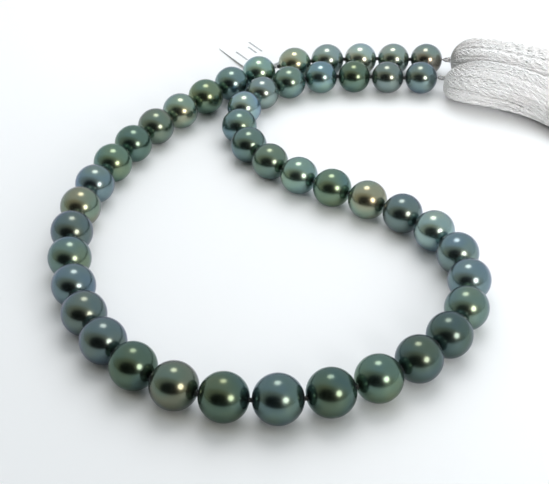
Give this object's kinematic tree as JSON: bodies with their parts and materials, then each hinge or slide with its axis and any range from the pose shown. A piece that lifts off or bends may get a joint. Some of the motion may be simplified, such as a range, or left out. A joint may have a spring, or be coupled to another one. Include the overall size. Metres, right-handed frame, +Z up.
{
  "type": "pearl necklace",
  "caption": "Graduated strand of dark round pearls on knotted silk, laid as an open loop, with coiled-wire end loops, white silk tassels and a blank card tag.",
  "frame": {"origin": "middle of the bounding box's bottom face, on the surface that the strand lies on", "axes": "+Z up from that surface; +Y from the loop of large pearls towards the two rows of small ones; +X towards the tassels"},
  "size_m": [0.1549, 0.1678, 0.0123],
  "materials": {
    "nacre_green_grey": "polished",
    "nacre_dark_green": "polished",
    "nacre_blue_grey": "polished",
    "nacre_peacock_green": "polished",
    "nacre_bronze_grey": "polished",
    "nacre_teal": "polished",
    "nacre_olive": "polished",
    "dark_silk": "matte",
    "silver_coil": "polished",
    "white_silk": "satin",
    "white_card": "matte",
    "white_string": "matte"
  },
  "bodies": {
    "pearl_01": {"pearl_01": "nacre_dark_green"},
    "pearl_02": {"pearl_02": "nacre_blue_grey"},
    "pearl_03": {"pearl_03": "nacre_peacock_green"},
    "pearl_04": {"pearl_04": "nacre_bronze_grey"},
    "pearl_05": {"pearl_05": "nacre_teal"},
    "pearl_06": {"pearl_06": "nacre_olive"},
    "pearl_07": {"pearl_07": "nacre_green_grey"},
    "pearl_08": {"pearl_08": "nacre_dark_green"},
    "pearl_09": {"pearl_09": "nacre_blue_grey"},
    "pearl_10": {"pearl_10": "nacre_peacock_green"},
    "pearl_11": {"pearl_11": "nacre_bronze_grey"},
    "pearl_12": {"pearl_12": "nacre_teal"},
    "pearl_13": {"pearl_13": "nacre_olive"},
    "pearl_14": {"pearl_14": "nacre_green_grey"},
    "pearl_15": {"pearl_15": "nacre_dark_green"},
    "pearl_16": {"pearl_16": "nacre_blue_grey"},
    "pearl_17": {"pearl_17": "nacre_peacock_green"},
    "pearl_18": {"pearl_18": "nacre_bronze_grey"},
    "pearl_19": {"pearl_19": "nacre_teal"},
    "pearl_20": {"pearl_20": "nacre_olive"},
    "pearl_21": {"pearl_21": "nacre_green_grey"},
    "pearl_22": {"pearl_22": "nacre_dark_green"},
    "pearl_23": {"pearl_23": "nacre_blue_grey", "silk_thread": "dark_silk"},
    "pearl_24": {"pearl_24": "nacre_peacock_green"},
    "pearl_25": {"pearl_25": "nacre_bronze_grey"},
    "pearl_26": {"pearl_26": "nacre_teal"},
    "pearl_27": {"pearl_27": "nacre_olive"},
    "pearl_28": {"pearl_28": "nacre_green_grey"},
    "pearl_29": {"pearl_29": "nacre_dark_green"},
    "pearl_30": {"pearl_30": "nacre_blue_grey"},
    "pearl_31": {"pearl_31": "nacre_peacock_green"},
    "pearl_32": {"pearl_32": "nacre_bronze_grey"},
    "pearl_33": {"pearl_33": "nacre_teal"},
    "pearl_34": {"pearl_34": "nacre_olive"},
    "pearl_35": {"pearl_35": "nacre_green_grey"},
    "pearl_36": {"pearl_36": "nacre_dark_green"},
    "pearl_37": {"pearl_37": "nacre_blue_grey"},
    "pearl_38": {"pearl_38": "nacre_peacock_green"},
    "pearl_39": {"pearl_39": "nacre_bronze_grey"},
    "pearl_40": {"pearl_40": "nacre_teal", "tag_string": "white_string"},
    "pearl_41": {"pearl_41": "nacre_olive"},
    "pearl_42": {"pearl_42": "nacre_green_grey"},
    "pearl_43": {"pearl_43": "nacre_dark_green"},
    "pearl_44": {"pearl_44": "nacre_blue_grey"},
    "pearl_45": {"pearl_45": "nacre_peacock_green"},
    "front_end_loop": {"front_end_loop": "silver_coil"},
    "back_end_loop": {"back_end_loop": "silver_coil"},
    "front_tassel": {"front_tassel": "white_silk", "front_tassel_tie": "white_silk"},
    "back_tassel": {"back_tassel": "white_silk", "back_tassel_tie": "white_silk"},
    "lot_tag": {"lot_tag": "white_card"}
  },
  "joints": [
    {"name": "knot_22", "type": "hinge", "parent": "pearl_23", "child": "pearl_22", "pos_m": [-0.018, -0.078, 0.00546], "axis": [0, 0, 1], "range_deg": [-32, 0], "deforming": ["silk_thread"]},
    {"name": "knot_21", "type": "hinge", "parent": "pearl_22", "child": "pearl_21", "pos_m": [-0.00737, -0.0744, 0.00535], "axis": [0, 0, 1], "range_deg": [-32, 0], "deforming": ["silk_thread"]},
    {"name": "knot_20", "type": "hinge", "parent": "pearl_21", "child": "pearl_20", "pos_m": [0.00219, -0.06892, 0.00529], "axis": [0.5819, -0.8132, 0], "range_deg": [0, 24], "deforming": ["silk_thread"]},
    {"name": "knot_19", "type": "hinge", "parent": "pearl_20", "child": "pearl_19", "pos_m": [0.01042, -0.06167, 0.00524], "axis": [-0.7488, 0.6628, 0], "range_deg": [0, 24], "deforming": ["silk_thread"]},
    {"name": "knot_18", "type": "hinge", "parent": "pearl_19", "child": "pearl_18", "pos_m": [0.01652, -0.05273, 0.00514], "axis": [-0.8979, 0.4402, 0], "range_deg": [0, 24], "deforming": ["silk_thread"]},
    {"name": "knot_17", "type": "hinge", "parent": "pearl_18", "child": "pearl_17", "pos_m": [0.01974, -0.04267, 0.00505], "axis": [0.9882, -0.1529, 0], "range_deg": [0, 24], "deforming": ["silk_thread"]},
    {"name": "knot_16", "type": "hinge", "parent": "pearl_17", "child": "pearl_16", "pos_m": [0.01969, -0.0322, 0.00501], "axis": [0.9865, 0.1636, 0], "range_deg": [0, 24], "deforming": ["silk_thread"]},
    {"name": "knot_15", "type": "hinge", "parent": "pearl_16", "child": "pearl_15", "pos_m": [0.01637, -0.02232, 0.00496], "axis": [-0.8859, -0.4638, 0], "range_deg": [0, 24], "deforming": ["silk_thread"]},
    {"name": "knot_14", "type": "hinge", "parent": "pearl_15", "child": "pearl_14", "pos_m": [0.01022, -0.0141, 0.00487], "axis": [-0.7205, -0.6935, 0], "range_deg": [0, 24], "deforming": ["silk_thread"]},
    {"name": "knot_13", "type": "hinge", "parent": "pearl_14", "child": "pearl_13", "pos_m": [0.00237, -0.00778, 0.0048], "axis": [0.5779, 0.8161, 0], "range_deg": [0, 24], "deforming": ["silk_thread"]},
    {"name": "knot_12", "type": "hinge", "parent": "pearl_13", "child": "pearl_12", "pos_m": [-0.00611, -0.00254, 0.00476], "axis": [0.5264, 0.8502, 0], "range_deg": [0, 24], "deforming": ["silk_thread"]},
    {"name": "knot_11", "type": "hinge", "parent": "pearl_12", "child": "pearl_11", "pos_m": [-0.01454, 0.00269, 0.00471], "axis": [-0.5675, -0.8234, 0], "range_deg": [0, 24], "deforming": ["silk_thread"]},
    {"name": "knot_10", "type": "hinge", "parent": "pearl_11", "child": "pearl_10", "pos_m": [-0.0223, 0.00862, 0.00464], "axis": [-0.664, -0.7478, 0], "range_deg": [0, 24], "deforming": ["silk_thread"]},
    {"name": "knot_09", "type": "hinge", "parent": "pearl_10", "child": "pearl_09", "pos_m": [-0.029, 0.01553, 0.0046], "axis": [0.8197, 0.5728, 0], "range_deg": [0, 24], "deforming": ["silk_thread"]},
    {"name": "knot_08", "type": "hinge", "parent": "pearl_09", "child": "pearl_08", "pos_m": [-0.03318, 0.02419, 0.00458], "axis": [0.962, 0.2729, 0], "range_deg": [0, 18], "deforming": ["silk_thread"]},
    {"name": "knot_07", "type": "hinge", "parent": "pearl_08", "child": "pearl_07", "pos_m": [-0.03414, 0.03366, 0.00451], "axis": [-0.9922, 0.1244, 0], "range_deg": [0, 18], "deforming": ["silk_thread"]},
    {"name": "knot_06", "type": "hinge", "parent": "pearl_07", "child": "pearl_06", "pos_m": [-0.03089, 0.04245, 0.00445], "axis": [-0.8542, 0.5199, 0], "range_deg": [0, 18], "deforming": ["silk_thread"]},
    {"name": "knot_05", "type": "hinge", "parent": "pearl_06", "child": "pearl_05", "pos_m": [-0.02463, 0.04929, 0.00444], "axis": [0.6088, -0.7933, 0], "range_deg": [0, 18], "deforming": ["silk_thread"]},
    {"name": "knot_04", "type": "hinge", "parent": "pearl_05", "child": "pearl_04", "pos_m": [-0.01637, 0.05359, 0.00443], "axis": [0, 0, 1], "range_deg": [-8, 0], "deforming": ["silk_thread"]},
    {"name": "knot_03", "type": "hinge", "parent": "pearl_04", "child": "pearl_03", "pos_m": [-0.00724, 0.0549, 0.00438], "axis": [0, 0, 1], "range_deg": [-10, 0], "deforming": ["silk_thread"]},
    {"name": "knot_02", "type": "hinge", "parent": "pearl_03", "child": "pearl_02", "pos_m": [0.00187, 0.05443, 0.00435], "axis": [0, 0, -1], "range_deg": [0, 15], "deforming": ["silk_thread"]},
    {"name": "knot_01", "type": "hinge", "parent": "pearl_02", "child": "pearl_01", "pos_m": [0.01098, 0.05411, 0.00436], "axis": [0, 0, 1], "range_deg": [-20, 0], "deforming": ["silk_thread"]},
    {"name": "knot_23", "type": "hinge", "parent": "pearl_23", "child": "pearl_24", "pos_m": [-0.02944, -0.0788, 0.00549], "axis": [0, 0, 1], "range_deg": [0, 32], "deforming": ["silk_thread"]},
    {"name": "knot_24", "type": "hinge", "parent": "pearl_24", "child": "pearl_25", "pos_m": [-0.04054, -0.07656, 0.0054], "axis": [0, 0, -1], "range_deg": [-32, 0], "deforming": ["silk_thread"]},
    {"name": "knot_25", "type": "hinge", "parent": "pearl_25", "child": "pearl_26", "pos_m": [-0.05041, -0.07144, 0.00534], "axis": [0, 0, 1], "range_deg": [0, 32], "deforming": ["silk_thread"]},
    {"name": "knot_26", "type": "hinge", "parent": "pearl_26", "child": "pearl_27", "pos_m": [-0.05848, -0.06386, 0.0053], "axis": [0, 0, -1], "range_deg": [-32, 0], "deforming": ["silk_thread"]},
    {"name": "knot_27", "type": "hinge", "parent": "pearl_27", "child": "pearl_28", "pos_m": [-0.06451, -0.0547, 0.00522], "axis": [0, 0, 1], "range_deg": [0, 32], "deforming": ["silk_thread"]},
    {"name": "knot_28", "type": "hinge", "parent": "pearl_28", "child": "pearl_29", "pos_m": [-0.06856, -0.04472, 0.00514], "axis": [0, 0, -1], "range_deg": [-32, 0], "deforming": ["silk_thread"]},
    {"name": "knot_29", "type": "hinge", "parent": "pearl_29", "child": "pearl_30", "pos_m": [-0.07118, -0.03443, 0.0051], "axis": [0, 0, 1], "range_deg": [0, 32], "deforming": ["silk_thread"]},
    {"name": "knot_30", "type": "hinge", "parent": "pearl_30", "child": "pearl_31", "pos_m": [-0.0725, -0.02389, 0.00507], "axis": [0, 0, -1], "range_deg": [-32, 0], "deforming": ["silk_thread"]},
    {"name": "knot_31", "type": "hinge", "parent": "pearl_31", "child": "pearl_32", "pos_m": [-0.07227, -0.01337, 0.005], "axis": [0, 0, 1], "range_deg": [0, 32], "deforming": ["silk_thread"]},
    {"name": "knot_32", "type": "hinge", "parent": "pearl_32", "child": "pearl_33", "pos_m": [-0.0704, -0.00322, 0.00491], "axis": [0, 0, -1], "range_deg": [-32, 0], "deforming": ["silk_thread"]},
    {"name": "knot_33", "type": "hinge", "parent": "pearl_33", "child": "pearl_34", "pos_m": [-0.06715, 0.00641, 0.00487], "axis": [0, 0, 1], "range_deg": [0, 32], "deforming": ["silk_thread"]},
    {"name": "knot_34", "type": "hinge", "parent": "pearl_34", "child": "pearl_35", "pos_m": [-0.06306, 0.01572, 0.00484], "axis": [0, 0, -1], "range_deg": [-32, 0], "deforming": ["silk_thread"]},
    {"name": "knot_35", "type": "hinge", "parent": "pearl_35", "child": "pearl_36", "pos_m": [-0.05814, 0.02445, 0.00476], "axis": [0, 0, 1], "range_deg": [0, 32], "deforming": ["silk_thread"]},
    {"name": "knot_36", "type": "hinge", "parent": "pearl_36", "child": "pearl_37", "pos_m": [-0.05251, 0.03256, 0.0047], "axis": [0, 0, -1], "range_deg": [-32, 0], "deforming": ["silk_thread"]},
    {"name": "knot_37", "type": "hinge", "parent": "pearl_37", "child": "pearl_38", "pos_m": [-0.0462, 0.04002, 0.00468], "axis": [0, 0, 1], "range_deg": [0, 32], "deforming": ["silk_thread"]},
    {"name": "knot_38", "type": "hinge", "parent": "pearl_38", "child": "pearl_39", "pos_m": [-0.03957, 0.04719, 0.00464], "axis": [0, 0, -1], "range_deg": [-32, 0], "deforming": ["silk_thread"]},
    {"name": "knot_39", "type": "hinge", "parent": "pearl_39", "child": "pearl_40", "pos_m": [-0.03268, 0.05391, 0.00456], "axis": [0, 0, 1], "range_deg": [0, 32], "deforming": ["silk_thread"]},
    {"name": "knot_40", "type": "hinge", "parent": "pearl_40", "child": "pearl_41", "pos_m": [-0.02412, 0.05958, 0.00451], "axis": [0, 0, -1], "range_deg": [-32, 0], "deforming": ["silk_thread"]},
    {"name": "knot_41", "type": "hinge", "parent": "pearl_41", "child": "pearl_42", "pos_m": [-0.01446, 0.06289, 0.00449], "axis": [0, 0, 1], "range_deg": [0, 32], "deforming": ["silk_thread"]},
    {"name": "knot_42", "type": "hinge", "parent": "pearl_42", "child": "pearl_43", "pos_m": [-0.00517, 0.06411, 0.00444], "axis": [0, 0, -1], "range_deg": [-32, 0], "deforming": ["silk_thread"]},
    {"name": "knot_43", "type": "hinge", "parent": "pearl_43", "child": "pearl_44", "pos_m": [0.00404, 0.06437, 0.00438], "axis": [0, 0, 1], "range_deg": [0, 32], "deforming": ["silk_thread"]},
    {"name": "knot_44", "type": "hinge", "parent": "pearl_44", "child": "pearl_45", "pos_m": [0.01316, 0.06421, 0.00436], "axis": [0, 0, -1], "range_deg": [-31, 0], "deforming": ["silk_thread"]},
    {"name": "front_loop_swing", "type": "hinge", "parent": "pearl_01", "child": "front_end_loop", "pos_m": [0.02015, 0.05397, 0.00438], "axis": [0, 0, -1], "range_deg": [0, 16], "deforming": ["silk_thread"]},
    {"name": "front_tassel_swing", "type": "hinge", "parent": "front_end_loop", "child": "front_tassel", "pos_m": [0.02125, 0.05397, 0.00438], "axis": [0, 0, -1], "range_deg": [0, 26]},
    {"name": "back_loop_swing", "type": "hinge", "parent": "pearl_45", "child": "back_end_loop", "pos_m": [0.02233, 0.06388, 0.00438], "axis": [0, 0, -1], "range_deg": [-25, 0], "deforming": ["silk_thread"]},
    {"name": "back_tassel_swing", "type": "hinge", "parent": "back_end_loop", "child": "back_tassel", "pos_m": [0.02343, 0.06388, 0.00438], "axis": [0, 0, 1], "range_deg": [0, 35]},
    {"name": "lot_tag_swing", "type": "hinge", "parent": "pearl_40", "child": "lot_tag", "pos_m": [-0.0275, 0.0683, 0.0009], "axis": [0, 0, 1], "range_deg": [-20, 20]}
  ]
}
